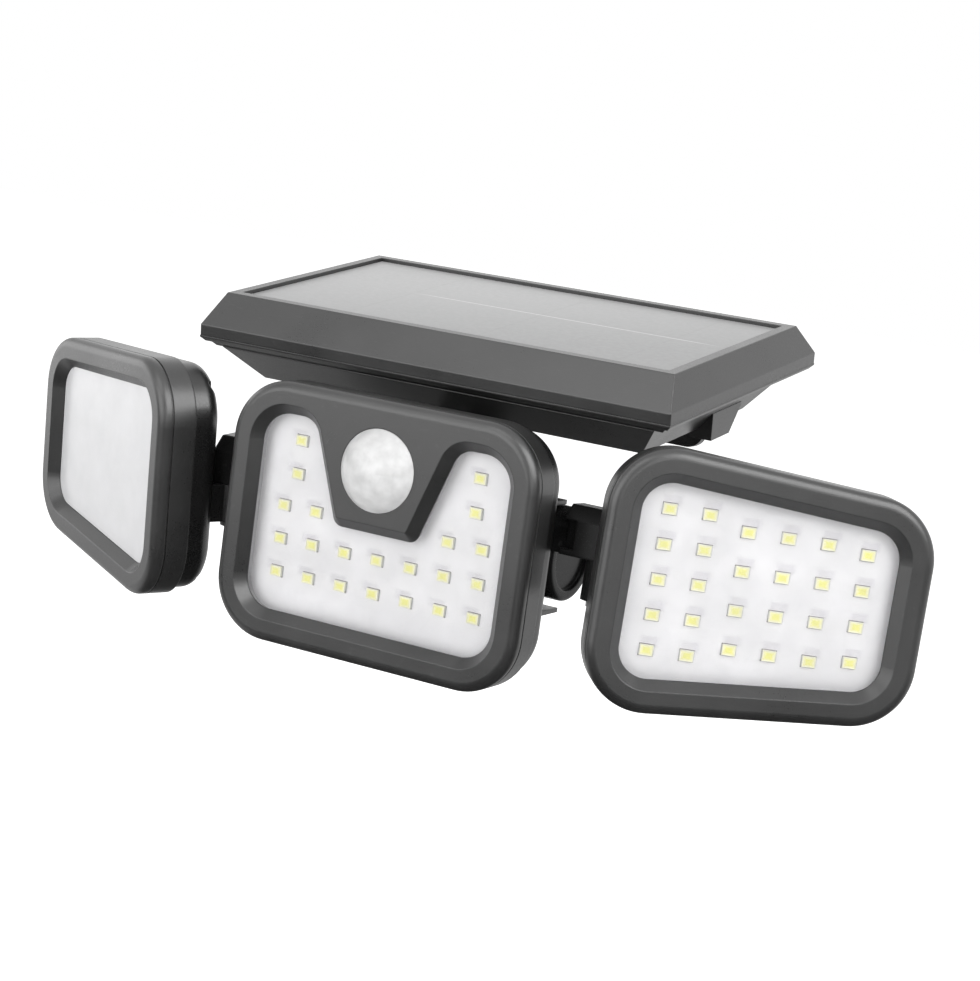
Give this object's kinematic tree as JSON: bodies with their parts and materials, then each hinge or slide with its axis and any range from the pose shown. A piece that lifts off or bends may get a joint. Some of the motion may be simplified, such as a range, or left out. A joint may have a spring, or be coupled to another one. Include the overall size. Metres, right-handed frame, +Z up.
{
  "type": "motion sensor security light",
  "caption": "Wall-mounted solar security light: a tilted solar panel housing over a fixed centre lamp head with a motion sensor, and side lamp heads that tilt and swing.",
  "frame": {"origin": "centre of the wall plate's back face, midway between its two screw holes", "axes": "+Y out of the plate's back, into the wall; -Y is the way the lamp faces; +Z up; +X to the lamp's right as seen from in front"},
  "size_m": [0.2697, 0.1278, 0.0981],
  "materials": {
    "housing_plastic": "fine grain, matt",
    "hinge_plastic": "matt",
    "knuckle_plastic": "matt",
    "solar_laminate": "smooth resin over the cells",
    "clear_lens": "smooth, clear",
    "white_board": "smooth solder mask",
    "led_yellow": "smooth phosphor",
    "sensor_lens": "frosted",
    "white_plastic": "matt",
    "sensor_can": "satin",
    "seal_rubber": "matt",
    "button_rubber": "matt",
    "screw_steel": "satin",
    "battery_can": "plain sleeve",
    "circuit_board": "smooth solder mask"
  },
  "bodies": {
    "bracket": {"wall_bracket": "hinge_plastic", "bracket_bolt": "screw_steel", "bracket_nut": "screw_steel", "bracket_washers": "screw_steel"},
    "lamp_body": {"bar_screws": "screw_steel", "battery_cell": "battery_can", "battery_cover": "housing_plastic", "battery_cover_screws": "screw_steel", "battery_holder": "hinge_plastic", "centre_bezel": "housing_plastic", "centre_board": "white_board", "centre_case_screws": "screw_steel", "centre_gasket": "seal_rubber", "centre_leds": "led_yellow", "centre_lens": "clear_lens", "centre_shell": "hinge_plastic", "charge_board": "circuit_board", "hinge_bar": "hinge_plastic", "mount_arm": "hinge_plastic", "mount_arm_screws": "screw_steel", "neck_screws": "screw_steel", "panel_frame": "housing_plastic", "panel_tray": "housing_plastic", "pir_dome": "sensor_lens", "pir_sensor": "sensor_can", "pir_spacer": "white_plastic", "solar_panel": "solar_laminate", "switch_body": "hinge_plastic", "tray_screws": "screw_steel"},
    "mode_button": {"mode_button": "button_rubber"},
    "right_knuckle": {"right_tilt_knuckle": "knuckle_plastic", "right_tilt_screw": "screw_steel", "right_swing_pin": "screw_steel"},
    "right_head": {"right_bezel": "housing_plastic", "right_lens": "clear_lens", "right_gasket": "seal_rubber", "right_board": "white_board", "right_leds": "led_yellow", "right_shell": "hinge_plastic", "right_case_screws": "screw_steel"},
    "left_knuckle": {"left_tilt_knuckle": "knuckle_plastic", "left_tilt_screw": "screw_steel", "left_swing_pin": "screw_steel"},
    "left_head": {"left_bezel": "housing_plastic", "left_lens": "clear_lens", "left_gasket": "seal_rubber", "left_board": "white_board", "left_leds": "led_yellow", "left_shell": "hinge_plastic", "left_case_screws": "screw_steel"}
  },
  "joints": [
    {"name": "body_tilt", "type": "hinge", "parent": "bracket", "child": "lamp_body", "pos_m": [0, -0.018, -0.0005], "axis": [1, 0, 0], "range_deg": [-5, 45]},
    {"name": "button_press", "type": "slide", "parent": "lamp_body", "child": "mode_button", "axis": [0, -0.1478, 0.989], "range_m": [0, 0.0012], "stiffness_N_per_m": 800, "springref_m": -0.0006},
    {"name": "right_tilt", "type": "hinge", "parent": "lamp_body", "child": "right_knuckle", "pos_m": [0, -0.0902, -0.03535], "axis": [1, 0, 0], "range_deg": [-10, 35]},
    {"name": "right_swing", "type": "hinge", "parent": "right_knuckle", "child": "right_head", "pos_m": [0.0569, -0.0995, -0.03329], "axis": [0, 0.0541, 0.9985], "range_deg": [-28, 28]},
    {"name": "left_tilt", "type": "hinge", "parent": "lamp_body", "child": "left_knuckle", "pos_m": [0, -0.0902, -0.03535], "axis": [1, 0, 0], "range_deg": [-17, 28]},
    {"name": "left_swing", "type": "hinge", "parent": "left_knuckle", "child": "left_head", "pos_m": [-0.0569, -0.09969, -0.03451], "axis": [0, -0.075, 0.9972], "range_deg": [-32, 24]}
  ]
}
